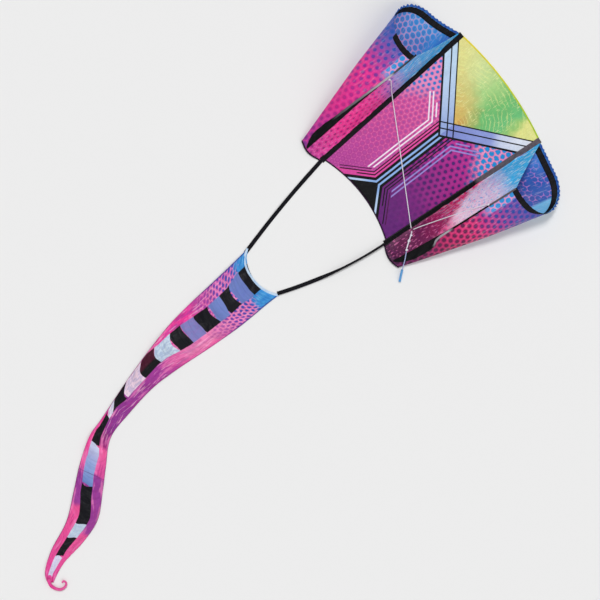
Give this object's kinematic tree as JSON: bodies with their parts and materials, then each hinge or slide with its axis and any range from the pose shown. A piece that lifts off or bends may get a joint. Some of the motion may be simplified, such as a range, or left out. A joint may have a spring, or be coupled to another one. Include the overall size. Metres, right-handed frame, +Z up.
{
  "type": "soft sled kite",
  "caption": "Frameless soft kite: a centre sail between ram-air side tubes with scooped inlets, keel flaps, a two-leg bridle, and a ribbon-hung streamer tail.",
  "frame": {"origin": "on the floor, under the middle of the kite with its tail", "axes": "+X along the span to the right tube, +Y to the nose, +Z up to the bridle side"},
  "size_m": [0.8004, 2.076, 0.1217],
  "materials": {
    "sail_print": "printed ripstop, slight sheen",
    "tube_inner_print": "printed ripstop, slight sheen",
    "tube_outer_print": "printed ripstop, slight sheen",
    "tube_back_print": "printed ripstop, slight sheen",
    "blue_hem": "gathered fabric hem",
    "black_tape": "woven edge tape",
    "yellow_binding": "folded fabric edge",
    "white_line": "braided line",
    "blue_line": "braided line and sleeve",
    "black_ribbon": "woven ribbon",
    "pale_hem": "folded fabric edge",
    "streamer_print": "printed ripstop, slight sheen"
  },
  "bodies": {
    "sail": {"centre_sail": "sail_print", "leading_edge_binding": "yellow_binding", "trailing_edge_hem": "black_tape", "left_seam_tape": "black_tape", "right_seam_tape": "black_tape", "bridle_left_leg": "white_line"},
    "left_tube": {"left_tube_inner_wall": "tube_inner_print", "left_tube_outer_wall": "tube_outer_print", "left_tube_back_skin": "tube_back_print", "left_inlet_hem": "blue_hem", "left_inlet_back_band": "black_tape", "left_inlet_front_band": "black_tape", "left_keel_flap": "black_tape", "left_rear_hem": "black_tape", "left_keel_knot": "white_line"},
    "right_tube": {"right_tube_inner_wall": "tube_inner_print", "right_tube_outer_wall": "tube_outer_print", "right_tube_back_skin": "tube_back_print", "right_inlet_hem": "blue_hem", "right_inlet_back_band": "black_tape", "right_inlet_front_band": "black_tape", "right_keel_flap": "black_tape", "right_rear_hem": "black_tape", "right_keel_knot": "white_line", "bridle_right_leg": "white_line", "tow_loop": "white_line", "tow_knots": "white_line", "leader_line": "blue_line", "leader_sleeve": "blue_line"},
    "tail_ribbons": {"left_tail_ribbon": "black_ribbon", "right_tail_ribbon": "black_ribbon"},
    "streamer": {"tail_mouth_hem": "pale_hem", "tail_streamer": "streamer_print", "tail_tip": "streamer_print"}
  },
  "joints": [
    {"name": "left_tube_fold", "type": "hinge", "parent": "sail", "child": "left_tube", "pos_m": [-0.21472, 1.01529, 0.0022], "axis": [-0.073, 0.9973, 0], "range_deg": [0, 70], "deforming": ["bridle_left_leg"]},
    {"name": "right_tube_fold", "type": "hinge", "parent": "sail", "child": "right_tube", "pos_m": [0.21472, 1.01529, 0.0022], "axis": [-0.073, -0.9973, 0], "range_deg": [0, 70]},
    {"name": "tail_swing", "type": "hinge", "parent": "sail", "child": "tail_ribbons", "pos_m": [0, 0.4414, 0.0022], "axis": [-1, 0, 0], "range_deg": [0, 80]},
    {"name": "streamer_swing", "type": "hinge", "parent": "tail_ribbons", "child": "streamer", "pos_m": [0, 0.0854, 0.0022], "axis": [-1, 0, 0], "range_deg": [0, 80]}
  ]
}
